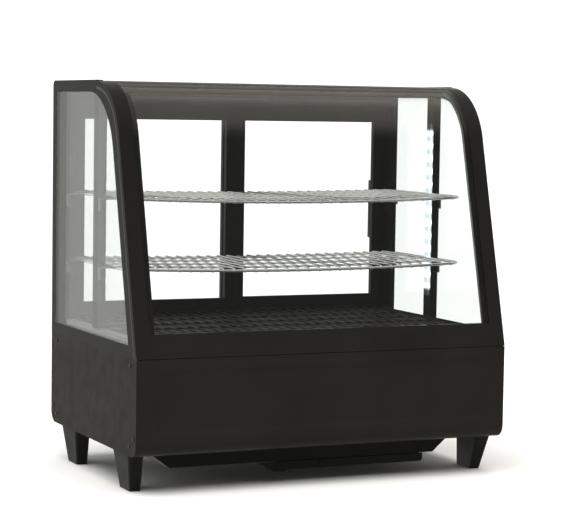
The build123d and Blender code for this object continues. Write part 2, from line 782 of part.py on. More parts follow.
def make_shelf_brackets():
    """Lugs that carry the shelves: one pair on the standards and one on the rear posts, per shelf."""
    reach = SHELF_HALF - 25
    places = (POST_BACK - BRACKET, CABIN_REAR - BRACKET)
    with BuildPart() as shelf_brackets:
        for height in SHELF_HEIGHTS.values():
            top = height - SHELF_GAP
            for back in places:
                for side in (-1, 1):
                    low, high = sorted((side * reach, side * CABIN_HALF))
                    block((low, high), (back, back + BRACKET), (top - 3, top))
                    low, high = sorted((side * (CABIN_HALF - 3), side * CABIN_HALF))
                    block((low, high), (back, back + BRACKET), (top - 22, top - 3))
    return shelf_brackets.part


# ---------------------------------------------------------------- controls

def make_controller_housing():
    """Thermostat body with its bezel, display window recess and button pockets."""
    front = BODY_DEPTH
    with BuildPart() as controller_housing:
        block((CONTROLLER_X - 39, CONTROLLER_X + 39), (front, front + 5), (CONTROL_Z - 18, CONTROL_Z + 18))
        block((CONTROLLER_X - 35, CONTROLLER_X + 35), (front - 40, front), (CONTROL_Z - 14, CONTROL_Z + 14))
        window = (CONTROLLER_X - 12, CONTROLLER_X + 12)
        block(window, (front + 3, front + 6), (CONTROL_Z - 9, CONTROL_Z + 9), Mode.SUBTRACT)
        for x in BUTTON_X.values():
            block(
                (x - BUTTON[0] / 2 - 0.3, x + BUTTON[0] / 2 + 0.3),
                (front + 1, front + 6),
                (CONTROL_Z - BUTTON[1] / 2 - 0.3, CONTROL_Z + BUTTON[1] / 2 + 0.3),
                Mode.SUBTRACT,
            )
    return controller_housing.part


def make_controller_display():
    """Window over the temperature digits."""
    with BuildPart() as controller_display:
        block(
            (CONTROLLER_X - 12, CONTROLLER_X + 12),
            (BODY_DEPTH + 3, BODY_DEPTH + 5),
            (CONTROL_Z - 9, CONTROL_Z + 9),
        )
    return controller_display.part


def make_button(x):
    """Small push button in its pocket, proud of the bezel."""
    with BuildPart() as button:
        block(
            (x - BUTTON[0] / 2, x + BUTTON[0] / 2),
            (BODY_DEPTH + 2.5, BODY_DEPTH + 6.2),
            (CONTROL_Z - BUTTON[1] / 2, CONTROL_Z + BUTTON[1] / 2),
        )
    return button.part


def make_rocker_housings():
    """Switch bodies with their bezels and rocker wells, drilled for the pivot pins."""
    with BuildPart() as rocker_housings:
        for x in ROCKER_X.values():
            block((x - 12, x + 12), (BODY_DEPTH, BODY_DEPTH + 2), (CONTROL_Z - 16, CONTROL_Z + 16))
            block((x - 9, x + 9), (BODY_DEPTH - 24, BODY_DEPTH), (CONTROL_Z - 13, CONTROL_Z + 13))
            well = (CONTROL_Z - 11.5, CONTROL_Z + 11.5)
            block((x - 7, x + 7), (BODY_DEPTH - 8, BODY_DEPTH + 3), well, Mode.SUBTRACT)
            pivot = (world_y(BODY_DEPTH - 1), CONTROL_Z)
            rod((x - 8.5, *pivot), (x + 8.5, *pivot), 3.1, Mode.SUBTRACT)
    return rocker_housings.part


def make_rocker(x):
    """Rocker with a raised rib at each end and a pivot pin across it."""
    half_width = ROCKER[0] / 2
    y = world_y(BODY_DEPTH)
    with BuildPart() as rocker:
        with BuildSketch(Plane.YZ.offset(x - half_width)):
            Polygon(
                (y - 4, CONTROL_Z - 6),
                (y - 4, CONTROL_Z + 6),
                (y + 2, CONTROL_Z + ROCKER[1] / 2 - 1),
                (y + 4.5, CONTROL_Z + ROCKER[1] / 2 - 1),
                (y + 2.2, CONTROL_Z),
                (y + 4.5, CONTROL_Z - ROCKER[1] / 2 + 1),
                (y + 2, CONTROL_Z - ROCKER[1] / 2 + 1),
                align=None,
            )
        extrude(amount=ROCKER[0])
        pivot = (y - 1, CONTROL_Z)
        rod((x - 8.2, *pivot), (x + 8.2, *pivot), 3)
    return rocker.part


def make_power_inlet():
    """Appliance inlet: flange, body, socket well and three pins."""
    with BuildPart() as power_inlet:
        block((INLET_X - 25, INLET_X + 25), (BODY_DEPTH, BODY_DEPTH + 3), (INLET_Z - 14, INLET_Z + 14))
        block((INLET_X - 14, INLET_X + 14), (BODY_DEPTH - 24, BODY_DEPTH), (INLET_Z - 11, INLET_Z + 11))
        well = (BODY_DEPTH - 15, BODY_DEPTH + 4)
        block((INLET_X - 12, INLET_X + 12), well, (INLET_Z - 8, INLET_Z + 8), Mode.SUBTRACT)
        for x, z in ((-7, -2), (0, 2), (7, -2)):
            block(
                (INLET_X + x - 1, INLET_X + x + 1),
                (BODY_DEPTH - 15, BODY_DEPTH - 2),
                (INLET_Z + z - 2, INLET_Z + z + 2),
            )
    return power_inlet.part


# ---------------------------------------------------------------- write every piece

save(make_base_pan(), "base_pan")
save(make_fascia(), "fascia_panel")
side_panel = make_side_panel()
save(side_panel, "side_panel_right")
save(mirrored(side_panel), "side_panel_left")
save(make_service_panel(), "service_panel")
for place, leg_back in (("front", FRONT_LEG_BACK), ("rear", REAR_LEG_BACK)):
    leg = make_right_leg(leg_back)
    save(leg, f"leg_{place}_right")
    save(mirrored(leg), f"leg_{place}_left")
save(make_fasteners(), "fasteners")

save(make_machine_tray(), "machine_tray")
save(make_drip_tray(), "drip_tray")
save(make_compressor(), "compressor")
save(make_compressor_mounts(), "compressor_mounts")
save(make_condenser_coil(), "condenser_coil")
save(make_condenser_shroud(), "condenser_shroud")
save(make_fan_motor(FAN_AXIS_X, FAN_AXIS_Z, 330, 21, 22, 366), "condenser_fan_motor")
save(make_fan(FAN_AXIS_X, FAN_AXIS_Z, 354, 42, 16, 5), "condenser_fan")
save(make_refrigerant_circuit(), "refrigerant_circuit")

save(make_cabin_tub(), "cabin_tub")
save(make_evaporator_coil(), "evaporator_coil")
save(make_cooler_fan_mount(), "cooler_fan_mount")
save(make_fan(COOLER_FAN_X, COOLER_FAN_Z, 316, 25, 10, 5), "cooler_fan")
save(make_deck_plate(), "deck_plate")
save(
    make_wire_grid(DECK_TOP + SHELF_GAP, GRID_HALF, GRID_FRONT, GRID_REAR, 4, 3, 24, 12, 3),
    "deck_grid",
)

save(make_front_pane(0), "front_glass_outer")
save(make_front_border(), "front_glass_border")
save(make_front_pane(PANE + GAP), "front_glass_inner")
side_pieces = {
    "glass_outer": make_side_pane(HALF - SIDE_PANE),
    "glass_border": make_side_border(),
    "glass_inner": make_side_pane(CABIN_HALF),
    "rear_post": make_rear_post(),
    "mid_post": make_mid_post(),
}
for name, piece in side_pieces.items():
    save(piece, f"right_{name}")
    save(mirrored(piece), f"left_{name}")

save(make_roof(), "roof_panel")
save(
    make_track((HEADER_BOTTOM, ROOF_BOTTOM), (HEADER_BOTTOM - 1, HEADER_BOTTOM + GROOVE_DEPTH)),
    "door_header",
)
save(make_track((BASE_TOP, SILL_TOP), (SILL_TOP - SILL_GROOVE_DEPTH, SILL_TOP + 1)), "door_sill")
for side in ("left", "right"):
    save(make_door_frame(side), f"{side}_door_frame")
    save(make_door_glass(side), f"{side}_door_glass")
save(make_left_handle(), "left_door_handle")
save(make_right_handle(), "right_door_handle")

save(make_light_strips(), "light_strips")
save(make_shelf_brackets(), "shelf_brackets")
for name, shelf_z in SHELF_HEIGHTS.items():
    shelf = make_wire_grid(
        shelf_z,
        SHELF_HALF,
        SHELF_FRONT,
        SHELF_REAR,
        SHELF_ROD,
        SHELF_WIRE,
        SHELF_PITCH,
        SHELF_CORNER,
        2,
        SHELF_NOTCH,
    )
    save(shelf, name)

save(make_controller_housing(), "controller_housing")
save(make_controller_display(), "controller_display")
for name, button_x in BUTTON_X.items():
    save(make_button(button_x), name)
save(make_rocker_housings(), "rocker_housings")
for name, rocker_x in ROCKER_X.items():
    save(make_rocker(rocker_x), name)
save(make_power_inlet(), "power_inlet")
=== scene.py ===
import json
from math import atan2, cos, hypot, pi, radians, sin, tan

import bmesh
import bpy
from mathutils import Matrix, Vector


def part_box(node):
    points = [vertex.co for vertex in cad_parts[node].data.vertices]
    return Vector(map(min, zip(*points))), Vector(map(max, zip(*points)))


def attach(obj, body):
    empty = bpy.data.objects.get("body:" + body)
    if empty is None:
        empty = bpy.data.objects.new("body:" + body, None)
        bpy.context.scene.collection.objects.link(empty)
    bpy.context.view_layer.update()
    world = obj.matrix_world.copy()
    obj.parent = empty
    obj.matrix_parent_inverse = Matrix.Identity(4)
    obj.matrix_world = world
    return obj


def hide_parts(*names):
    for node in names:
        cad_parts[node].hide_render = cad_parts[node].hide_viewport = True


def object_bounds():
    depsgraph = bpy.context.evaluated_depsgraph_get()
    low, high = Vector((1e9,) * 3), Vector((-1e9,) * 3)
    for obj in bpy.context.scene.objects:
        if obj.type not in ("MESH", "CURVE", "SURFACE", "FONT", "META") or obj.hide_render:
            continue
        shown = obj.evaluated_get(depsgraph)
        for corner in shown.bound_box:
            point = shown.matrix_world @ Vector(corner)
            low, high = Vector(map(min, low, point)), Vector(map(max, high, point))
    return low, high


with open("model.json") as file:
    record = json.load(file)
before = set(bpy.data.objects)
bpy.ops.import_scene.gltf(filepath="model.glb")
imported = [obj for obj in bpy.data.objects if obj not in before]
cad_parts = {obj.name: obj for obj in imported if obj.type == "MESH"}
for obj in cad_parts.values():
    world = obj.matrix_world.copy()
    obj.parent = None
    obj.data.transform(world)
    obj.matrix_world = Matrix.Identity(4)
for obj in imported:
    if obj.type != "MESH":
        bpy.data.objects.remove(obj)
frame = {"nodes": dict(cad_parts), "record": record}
cad_low, cad_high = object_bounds()
nodes = frame["nodes"]

# The cabinet's own sizes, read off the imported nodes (metres)
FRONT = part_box("front_glass_outer")[0].y
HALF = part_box("front_glass_outer")[1].x
BASE_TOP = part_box("front_glass_outer")[0].z
FRONT_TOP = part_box("front_glass_outer")[1].z
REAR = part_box("right_glass_outer")[1].y
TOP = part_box("right_glass_outer")[1].z
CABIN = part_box("right_glass_inner")[0].x
FRONT_BAND_TOP = 0.262
RADIUS = 0.118
LEAN = radians(14.4)
OUTER_PANE = 0.004
PRINT_LIFT = 0.0002
PRINT_NARROWER = 0.010
ARC_Z = FRONT_TOP - RADIUS


# ------------------------------------------------------------ materials

class Shader:
    """A material under construction: adds nodes and links them by name."""

    def __init__(self, name):
        self.mat = bpy.data.materials.new(name)
        self.mat.use_nodes = True
        self.tree = self.mat.node_tree
        self.tree.nodes.clear()
        self.out = self.tree.nodes.new("ShaderNodeOutputMaterial")

    def add(self, kind, inputs=None, **settings):
        node = self.tree.nodes.new("ShaderNode" + kind)
        for key, value in settings.items():
            setattr(node, key, value)
        for key, value in (inputs or {}).items():
            if isinstance(value, bpy.types.NodeSocket):
                self.tree.links.new(value, node.inputs[key])
            else:
                node.inputs[key].default_value = value
        return node

    def math(self, operation, a, b=0.0, clamp=False):
        node = self.add("Math", {0: a, 1: b}, operation=operation, use_clamp=clamp)
        return node.outputs[0]

    def place(self):
        return self.add("TexCoord").outputs["Object"]

    def noise(self, scale, detail=3.0, rough=0.5, vector=None):
        where = vector or self.place()
        inputs = {"Vector": where, "Scale": scale, "Detail": detail, "Roughness": rough}
        return self.add("TexNoise", inputs).outputs["Fac"]

    def span(self, value, low, high, start=0.3, end=0.7):
        inputs = {"Value": value, "From Min": start, "From Max": end, "To Min": low, "To Max": high}
        return self.add("MapRange", inputs).outputs["Result"]

    def blend(self, factor, first, second):
        node = self.add("Mix", data_type="RGBA")
        for socket, value in ((node.inputs[0], factor), (node.inputs[6], first), (node.inputs[7], second)):
            if isinstance(value, bpy.types.NodeSocket):
                self.tree.links.new(value, socket)
            else:
                socket.default_value = value
        return node.outputs[2]

    def bump(self, height, strength, distance):
        inputs = {"Height": height, "Strength": strength, "Distance": distance}
        return self.add("Bump", inputs).outputs["Normal"]

    def finish(self, shader):
        self.tree.links.new(shader.outputs[0], self.out.inputs["Surface"])
        return self.mat


def shade(colour, factor):
    return (colour[0] * factor, colour[1] * factor, colour[2] * factor, 1.0)


def coated(name, colour, rough=0.4, specular=0.3, metallic=0.0, grain=900.0, relief=0.00005, spread=0.10, coat=0.0):
    """Paint or moulded plastic: cloudy tone, uneven gloss and a fine skin texture."""
    s = Shader(name)
    cloud = s.noise(7.0, 4.0)
    fine = s.noise(grain, 2.0)
    tone = s.blend(s.span(cloud, 0.0, 1.0), shade(colour, 1 - spread), shade(colour, 1 + spread))
    body = s.add("BsdfPrincipled", {
        "Base Color": tone,
        "Metallic": metallic,
        "Roughness": s.span(s.noise(35.0, 5.0), rough - 0.05, rough + 0.07),
        "Specular IOR Level": specular,
        "Coat Weight": coat,
        "Coat Roughness": 0.12,
        "Normal": s.bump(fine, 0.35, relief),
    })
    return s.finish(body)


def brushed(name, colour, rough=0.3, along=(1.0, 60.0, 60.0), relief=0.00003):
    """Bare metal with fine drawn lines."""
    s = Shader(name)
    stretch = s.add("Mapping", {"Vector": s.place(), "Scale": along}).outputs[0]
    lines = s.noise(40.0, 6.0, 0.6, stretch)
    body = s.add("BsdfPrincipled", {
        "Base Color": s.blend(s.span(lines, 0.0, 1.0), shade(colour, 0.85), shade(colour, 1.1)),
        "Metallic": 1.0,
        "Roughness": s.span(lines, rough - 0.08, rough + 0.1),
        "Normal": s.bump(lines, 0.3, relief),
    })
    return s.finish(body)


def chrome():
    s = Shader("bright_chrome_wire")
    haze = s.noise(60.0, 4.0)
    body = s.add("BsdfPrincipled", {
        "Base Color": s.blend(s.span(haze, 0.0, 1.0), (0.88, 0.88, 0.88, 1), (0.98, 0.98, 0.97, 1)),
        "Metallic": 0.86,
        "Roughness": s.span(haze, 0.04, 0.10),
        "Normal": s.bump(s.noise(400.0), 0.2, 0.0001),
    })
    return s.finish(body)


def pane(name, tint=(0.995, 1.0, 0.997), rough=0.0, edge=None):
    """Clear pane: mirrors more towards grazing angles; edge is a mask of its blackened rim."""
    s = Shader(name)
    facing = s.add("LayerWeight", {"Blend": 0.5}).outputs["Facing"]
    share = s.math("ADD", s.math("MULTIPLY", s.math("POWER", facing, 5.0), 0.95), 0.018)
    smear = s.math("MULTIPLY", s.span(s.noise(9.0, 5.0), 0.0, 1.0), 0.003)
    clear = s.add("BsdfTransparent", {"Color": (*tint, 1)})
    mirror = s.add("BsdfGlossy", {"Color": (1, 1, 1, 1), "Roughness": rough})
    glass = s.add("MixShader", {0: s.math("ADD", share, smear)})
    s.tree.links.new(clear.outputs[0], glass.inputs[1])
    s.tree.links.new(mirror.outputs[0], glass.inputs[2])
    if edge is None:
        return s.finish(glass)
    x, y, z = s.add("SeparateXYZ", {0: s.place()}).outputs
    rim = edge(s, x, y, z)
    black = s.add("BsdfPrincipled", {"Base Color": (0.004, 0.004, 0.004, 1), "Roughness": 0.12})
    both = s.add("MixShader", {0: rim})
    s.tree.links.new(glass.outputs[0], both.inputs[1])
    s.tree.links.new(black.outputs[0], both.inputs[2])
    return s.finish(both)


def front_rim(s, x, y, z):
    """Outer millimetres of the inner curved pane, where the edge seal covers it."""
    side = s.math("GREATER_THAN", s.math("ABSOLUTE", x), HALF - 0.003)
    low = s.math("LESS_THAN", z, BASE_TOP + 0.004)
    return s.math("ADD", side, low, clamp=True)


def side_rim(s, x, y, z):
    """Outer millimetres of a side pane."""
    rear = s.math("GREATER_THAN", y, REAR - 0.002)
    top = s.math("GREATER_THAN", z, TOP - 0.002)
    low = s.math("LESS_THAN", z, BASE_TOP + 0.004)
    return s.math("ADD", s.math("ADD", rear, top), low, clamp=True)


def deck_paint():
    """Deck: dark under the wire grid, pale along both side ledges."""
    s = Shader("deck_two_tone")
    x, y, z = s.add("SeparateXYZ", {0: s.place()}).outputs
    ledge = s.math("GREATER_THAN", s.math("ABSOLUTE", x), CABIN - 0.016)
    worn = s.span(s.noise(30.0, 5.0), 0.0, 1.0)
    dark = s.blend(worn, (0.012, 0.012, 0.011, 1), (0.020, 0.020, 0.018, 1))
    pale = s.blend(worn, (0.20, 0.20, 0.195, 1), (0.26, 0.26, 0.25, 1))
    body = s.add("BsdfPrincipled", {
        "Base Color": s.blend(ledge, dark, pale),
        "Roughness": s.span(s.noise(50.0, 4.0), 0.38, 0.5),
        "Specular IOR Level": 0.25,
        "Normal": s.bump(s.noise(700.0), 0.3, 0.00005),
    })
    return s.finish(body)


def lamp_lens(pitch, start, middle, reach):
    """Milky lens over the lamps: bright over each lamp, fainter between."""
    s = Shader("lamp_lens")
    x, y, z = s.add("SeparateXYZ", {0: s.place()}).outputs
    turn = s.math("MULTIPLY", s.math("SUBTRACT", z, start), pi / pitch)
    peak = s.math("POWER", s.math("ABSOLUTE", s.math("COSINE", turn)), 5.0)
    near = s.math("SUBTRACT", 1.15, s.math("DIVIDE", s.math("ABSOLUTE", s.math("SUBTRACT", z, middle)), reach))
    lit_part = s.math("MULTIPLY", near, 8.0, clamp=True)
    glow = s.math("ADD", s.math("MULTIPLY", s.math("ADD", s.math("MULTIPLY", peak, 6.0), 1.6), lit_part), 0.10)
    grain = s.math("ADD", s.math("MULTIPLY", s.noise(300.0), 0.3), 0.85)
    lit = s.add("Emission", {"Color": (0.86, 0.95, 1.0, 1), "Strength": s.math("MULTIPLY", glow, grain)})
    clear = s.add("BsdfTransparent")
    gloss = s.add("BsdfGlossy", {"Color": (0.9, 0.9, 0.9, 1), "Roughness": 0.15})
    skin = s.add("MixShader", {0: 0.55})
    s.tree.links.new(clear.outputs[0], skin.inputs[1])
    s.tree.links.new(lit.outputs[0], skin.inputs[2])
    whole = s.add("MixShader", {0: 0.08})
    s.tree.links.new(skin.outputs[0], whole.inputs[1])
    s.tree.links.new(gloss.outputs[0], whole.inputs[2])
    return s.finish(whole)


def glowing(name, colour, strength):
    s = Shader(name)
    flicker = s.math("MULTIPLY", s.math("ADD", s.noise(500.0), 0.5), strength)
    body = s.add("BsdfPrincipled", {
        "Base Color": (*colour, 1),
        "Roughness": 0.3,
        "Emission Color": (*colour, 1),
        "Emission Strength": flicker,
    })
    return s.finish(body)


LAMP_PITCH = 0.0235
LAMP_COUNT = 11
LENS_PROUD = 0.0022
LENS_WIDTH = 0.0235
LAMP_START = (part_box("light_strips")[0].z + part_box("light_strips")[1].z) / 2 - 5 * LAMP_PITCH

LOOKS = {
    "steel_dark": coated("dark_satin_sheet", (0.0195, 0.0175, 0.0148), 0.44, 0.08, grain=700.0),
    "leg_plastic": coated("leg_plastic", (0.012, 0.0115, 0.011), 0.45, 0.15, grain=1400.0, relief=0.0001),
    "fastener_steel": brushed("screw_steel", (0.10, 0.10, 0.10), 0.35),
    "tray_metal": coated("tray_metal", (0.008, 0.009, 0.008), 0.45, 0.18),
    "tray_plastic": coated("tray_plastic", (0.009, 0.010, 0.009), 0.42, 0.2, grain=1400.0, relief=0.0001),
    "compressor_black": coated("compressor_paint", (0.010, 0.010, 0.010), 0.28, 0.5),
    "rubber": coated("grommet_rubber", (0.012, 0.012, 0.012), 0.7, 0.2, grain=2000.0),
    "fins_aluminium": brushed("fin_aluminium", (0.72, 0.72, 0.73), 0.3, (60.0, 60.0, 1.0)),
    "zinc_steel": brushed("zinc_steel", (0.45, 0.46, 0.47), 0.38, (4.0, 4.0, 4.0)),
    "fan_plastic": coated("fan_plastic", (0.012, 0.012, 0.012), 0.45),
    "copper": brushed("copper_pipe", (0.72, 0.36, 0.24), 0.28),
    "liner_white": coated("liner_plastic", (0.55, 0.55, 0.53), 0.4, 0.4, spread=0.03),
    "deck_grey": deck_paint(),
    "wire_black": coated("black_coated_wire", (0.010, 0.010, 0.010), 0.42, 0.2),
    "shelf_chrome": chrome(),
    "glass_clear": pane("clear_glass"),
    "spacer_black": coated("edge_print_black", (0.017, 0.0165, 0.016), 0.18, 0.04, grain=300.0, relief=0.00001),
    "frame_black": coated("black_anodised", (0.009, 0.009, 0.0085), 0.42, 0.18, grain=1100.0),
    # roof: its own dark tone, lifted to a lighter brown as a painted reflection of light on its underside
    "roof_dark": coated("roof_skin_painted_reflection", (0.055, 0.047, 0.039), 0.50, 0.15, grain=600.0),
    "handle_black": coated("handle_plastic", (0.010, 0.010, 0.010), 0.35, 0.4),
    "led_lens": lamp_lens(LAMP_PITCH, LAMP_START, LAMP_START + 5 * LAMP_PITCH, 5.5 * LAMP_PITCH),
    "bracket_steel": brushed("bracket_steel", (0.40, 0.40, 0.40), 0.3),
    "control_plastic": coated("control_plastic", (0.012, 0.012, 0.012), 0.25, 0.5),
    "display_lens": coated("display_window", (0.020, 0.002, 0.002), 0.1, 0.5),
    "button_grey": coated("button_plastic", (0.18, 0.18, 0.18), 0.4, 0.4),
    "inlet_black": coated("inlet_plastic", (0.012, 0.012, 0.012), 0.45, 0.4),
}
SPACER = brushed("spacer_aluminium", (0.34, 0.34, 0.32), 0.45, (20.0, 20.0, 20.0))
LED_CHIP = glowing("lamp_chip", (0.90, 0.97, 1.0), 12.0)
BOARD = coated("lamp_board", (0.55, 0.56, 0.57), 0.4, 0.4)
DIGIT = glowing("display_digit", (1.0, 0.10, 0.04), 3.0)

for part in frame["record"]["subparts"]:
    mesh = nodes[part["node"]].data
    mesh.materials.clear()
    mesh.materials.append(LOOKS[part["material_slot"]])
nodes["front_glass_inner"].data.materials[0] = pane("inner_front_glass", edge=front_rim)
for side in ("left", "right"):
    nodes[side + "_glass_inner"].data.materials[0] = pane(side + "_inner_glass", edge=side_rim)


# ------------------------------------------------------------ mesh helpers

def piece(name, bm, materials, body, replaced=(), smooth=False):
    """Turn a bmesh into a piece that rides on a body and may stand for CAD nodes."""
    mesh = bpy.data.meshes.new(name)
    bmesh.ops.recalc_face_normals(bm, faces=bm.faces)
    bm.to_mesh(mesh)
    bm.free()
    for material in materials:
        mesh.materials.append(material)
    for polygon in mesh.polygons:
        polygon.use_smooth = smooth
    obj = bpy.data.objects.new(name, mesh)
    bpy.context.scene.collection.objects.link(obj)
    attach(obj, body)
    if replaced:
        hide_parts(*replaced)
    return obj


def tube(bm, points, radius, sides=8, closed=False):
    """Round bar through a chain of points, mitred at each."""
    points = [Vector(p) for p in points]
    count = len(points)
    rings = []
    side = None
    for i, point in enumerate(points):
        before = points[(i - 1) % count] if closed or i else point
        after = points[(i + 1) % count] if closed or i < count - 1 else point
        way = (after - before).normalized()
        if side is None:
            side = way.orthogonal().normalized()
        side = (side - way * side.dot(way)).normalized()
        up = way.cross(side)
        ring = []
        for k in range(sides):
            a = 2 * pi * k / sides
            ring.append(bm.verts.new(point + (side * cos(a) + up * sin(a)) * radius))
        rings.append(ring)
    pairs = list(zip(rings, rings[1:]))
    if closed:
        pairs.append((rings[-1], rings[0]))
    for a, b in pairs:
        for k in range(sides):
            bm.faces.new((a[k], a[(k + 1) % sides], b[(k + 1) % sides], b[k]))
    if not closed:
        bm.faces.new(rings[0][::-1])
        bm.faces.new(rings[-1])


def lathe(bm, profile, matrix, sides=20):
    """Turned shape: profile of (radius, height) about the matrix's Z."""
    rings = []
    for radius, height in profile:
        ring = []
        for k in range(sides):
            a = 2 * pi * k / sides
            ring.append(bm.verts.new(matrix @ Vector((radius * cos(a), radius * sin(a), height))))
        rings.append(ring)
    for a, b in zip(rings, rings[1:]):
        for k in range(sides):
            bm.faces.new((a[k], a[(k + 1) % sides], b[(k + 1) % sides], b[k]))
    return rings


def bar(bm, low, high, bevel=0.0, material=0):
    """Rectangular bar with softened edges."""
    made = bmesh.ops.create_cube(bm, size=1.0)["verts"]
    size = Vector(high) - Vector(low)
    middle = (Vector(high) + Vector(low)) / 2
    for v in made:
        v.co = Vector((v.co.x * size.x, v.co.y * size.y, v.co.z * size.z)) + middle
    faces = {f for v in made for f in v.link_faces}
    if bevel:
        edges = {e for v in made for e in v.link_edges}
        done = bmesh.ops.bevel(bm, geom=list(edges), offset=bevel, segments=2, affect="EDGES", profile=0.6)
        faces = {f for f in faces if f.is_valid} | set(done["faces"])
    for f in faces:
        f.material_index = material


# ------------------------------------------------------------ glazing borders

FOOT = FRONT
RISE = ARC_Z + RADIUS * sin(LEAN) - BASE_TOP
ARC_Y = FOOT + RISE * tan(LEAN) + RADIUS * cos(LEAN)


def depth_behind_front(y, z):
    """Distance of a point behind the curved outer face, and the outward direction there."""
    angle = atan2(z - ARC_Z, ARC_Y - y)
    if z > ARC_Z and angle > LEAN:
        return RADIUS - hypot(z - ARC_Z, ARC_Y - y), Vector((0, -cos(angle), sin(angle)))
    along = (y - FOOT) - (z - BASE_TOP) * tan(LEAN)
    return along * cos(LEAN), Vector((0, -cos(LEAN), sin(LEAN)))


def copied(node):
    bm = bmesh.new()
    bm.from_mesh(nodes[node].data)
    return bm


def front_border():
    """Black print on the curved outer pane and the spacer behind it."""
    bm = copied("front_glass_border")
    middle = 0.007
    for v in bm.verts:
        depth, out = depth_behind_front(v.co.y, v.co.z)
        target = OUTER_PANE if depth > middle else -PRINT_LIFT
        v.co += out * (depth - target)
        if abs(v.co.x) < HALF - PRINT_NARROWER:
            v.co.x += PRINT_NARROWER * (1 if v.co.x > 0 else -1)
        if abs(v.co.x) > HALF - 0.0005:
            v.co.x += PRINT_LIFT * (1 if v.co.x > 0 else -1)
    piece("front_edge_print", bm, [LOOKS["spacer_black"]], "cabinet")
    bm = copied("front_glass_border")
    for f in bm.faces:
        centre = f.calc_center_median()
        inner_side = abs(f.normal.x) > 0.9 and abs(centre.x) < HALF - 0.005
        inner_low = f.normal.z > 0.7 and centre.z < FRONT_BAND_TOP + 0.004
        f.material_index = 1 if inner_side or inner_low else 0
    piece(
        "front_edge_spacer", bm, [LOOKS["spacer_black"], SPACER], "cabinet",
        ["front_glass_border"],
    )


def side_border(side):
    """Black print on a side's outer pane and the spacer between its panes."""
    sign = -1 if side == "left" else 1
    node = side + "_glass_border"
    low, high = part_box(side + "_glass_outer")
    outer = HALF + PRINT_LIFT
    inner = min(abs(low.x), abs(high.x))
    bm = copied(node)
    middle = sum(abs(corner.x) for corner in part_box(node)) / 2
    for v in bm.verts:
        v.co.x = sign * (outer if abs(v.co.x) > middle else inner)
    piece(side + "_edge_print", bm, [LOOKS["spacer_black"]], "cabinet")
    bm = copied(node)
    for f in bm.faces:
        c = f.calc_center_median()
        depth = depth_behind_front(c.y, c.z)[0]
        inside = depth > 0.018 and BASE_TOP + 0.005 < c.z < TOP - 0.005 and c.y < REAR - 0.005
        f.material_index = 1 if inside and abs(f.normal.x) < 0.5 else 0
    piece(
        side + "_edge_spacer", bm, [LOOKS["spacer_black"], SPACER], "cabinet", [node]
    )


front_border()
side_border("left")
side_border("right")


# ------------------------------------------------------------ wire shelves and grid

def notched_outline(half, front, rear, corner, notch, steps=6):
    """Corners of a rounded rectangle, anticlockwise from the rear right, stepping in round the posts."""
    points = []
    centres = (
        (half - corner, rear - corner, 0),
        (-half + corner, rear - corner, 90),
        (-half + corner, front + corner, 180),
        (half - corner, front + corner, 270),
    )
    for index, (x, y, start) in enumerate(centres):
        if notch and index in (0, 2):
            inner, low, high = notch
            step = [(half, low), (inner, low), (inner, high), (half, high)]
            if index == 2:
                step = [(-px, py) for px, py in reversed(step)]
            points.extend(step)
        for k in range(steps + 1):
            a = radians(start + 90 * k / steps)
            points.append((x + corner * cos(a), y + corner * sin(a)))
    return points


def rim_loop(outline, level):
    """The outline with points added along its straight runs so that it can sag."""
    dense = []
    for i, (x, y) in enumerate(outline):
        nx, ny = outline[(i + 1) % len(outline)]
        count = max(1, int(hypot(nx - x, ny - y) / 0.04))
        for k in range(count):
            px, py = x + (nx - x) * k / count, y + (ny - y) * k / count
            dense.append((px, py, level(px, py)))
    return dense


def wire_tray(name, body, looks, rim, wire, pitch, corner, bars, sag, notch=None):
    """Welded wire shelf: rim, cross bars under close wires that hook round the rim front and rear."""
    low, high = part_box(name)
    half = high.x - rim / 2
    front, rear = low.y + rim / 2, high.y - rim / 2

    def level(x, y):
        return low.z + rim / 2 - sag * max(0.0, 1 - (x / half) ** 2) * (1.15 - 0.5 * (y - front) / (rear - front))

    bm = bmesh.new()
    if notch:
        notch = (half - notch, POST_LOW - notch - rim / 2, POST_HIGH + notch + rim / 2)
    tube(bm, rim_loop(notched_outline(half, front, rear, corner, notch), level), rim / 2, 10, True)
    for k in range(bars):
        y = front + (rear - front) * (k + 1) / (bars + 1)
        reach = notch[0] if notch and notch[1] < y < notch[2] else half
        xs = [reach * (-1 + 2 * j / 16) for j in range(17)]
        tube(bm, [(x, y, level(x, y)) for x in xs], rim / 2 * 0.8, 8)
    reach = rim / 2 + wire / 2
    count = int((half - corner / 2) / pitch)
    for k in range(-count, count + 1):
        x = k * pitch
        points = []
        for y, sign in ((front, -1), (rear, 1)):
            z = level(x, y)
            hook = [(x, y + sign * reach * sin(a), z + reach * cos(a)) for a in (0.0, 0.8, 1.6, 2.4)]
            mid = (front + rear) / 2
            near = [(x, y + (mid - y) * t, level(x, y + (mid - y) * t) + reach) for t in (0.33, 0.66)]
            points.append(hook[::-1] + near)
        tube(bm, points[0] + points[1][::-1], wire / 2, 6)
    return piece(name + "_wires", bm, [looks], body, [name], smooth=True)


POST_LOW, POST_HIGH = (corner.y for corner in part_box("right_mid_post"))
for shelf in ("upper_shelf", "lower_shelf"):
    wire_tray(
        shelf, shelf + "_body", LOOKS["shelf_chrome"],
        rim=0.0050, wire=0.0026, pitch=0.0200, corner=0.022, bars=3, sag=0.006, notch=0.012,
    )
wire_tray(
    "deck_grid", "deck_grid_body", LOOKS["wire_black"],
    rim=0.0040, wire=0.0026, pitch=0.0200, corner=0.012, bars=4, sag=0.0,
)


# ------------------------------------------------------------ light strips

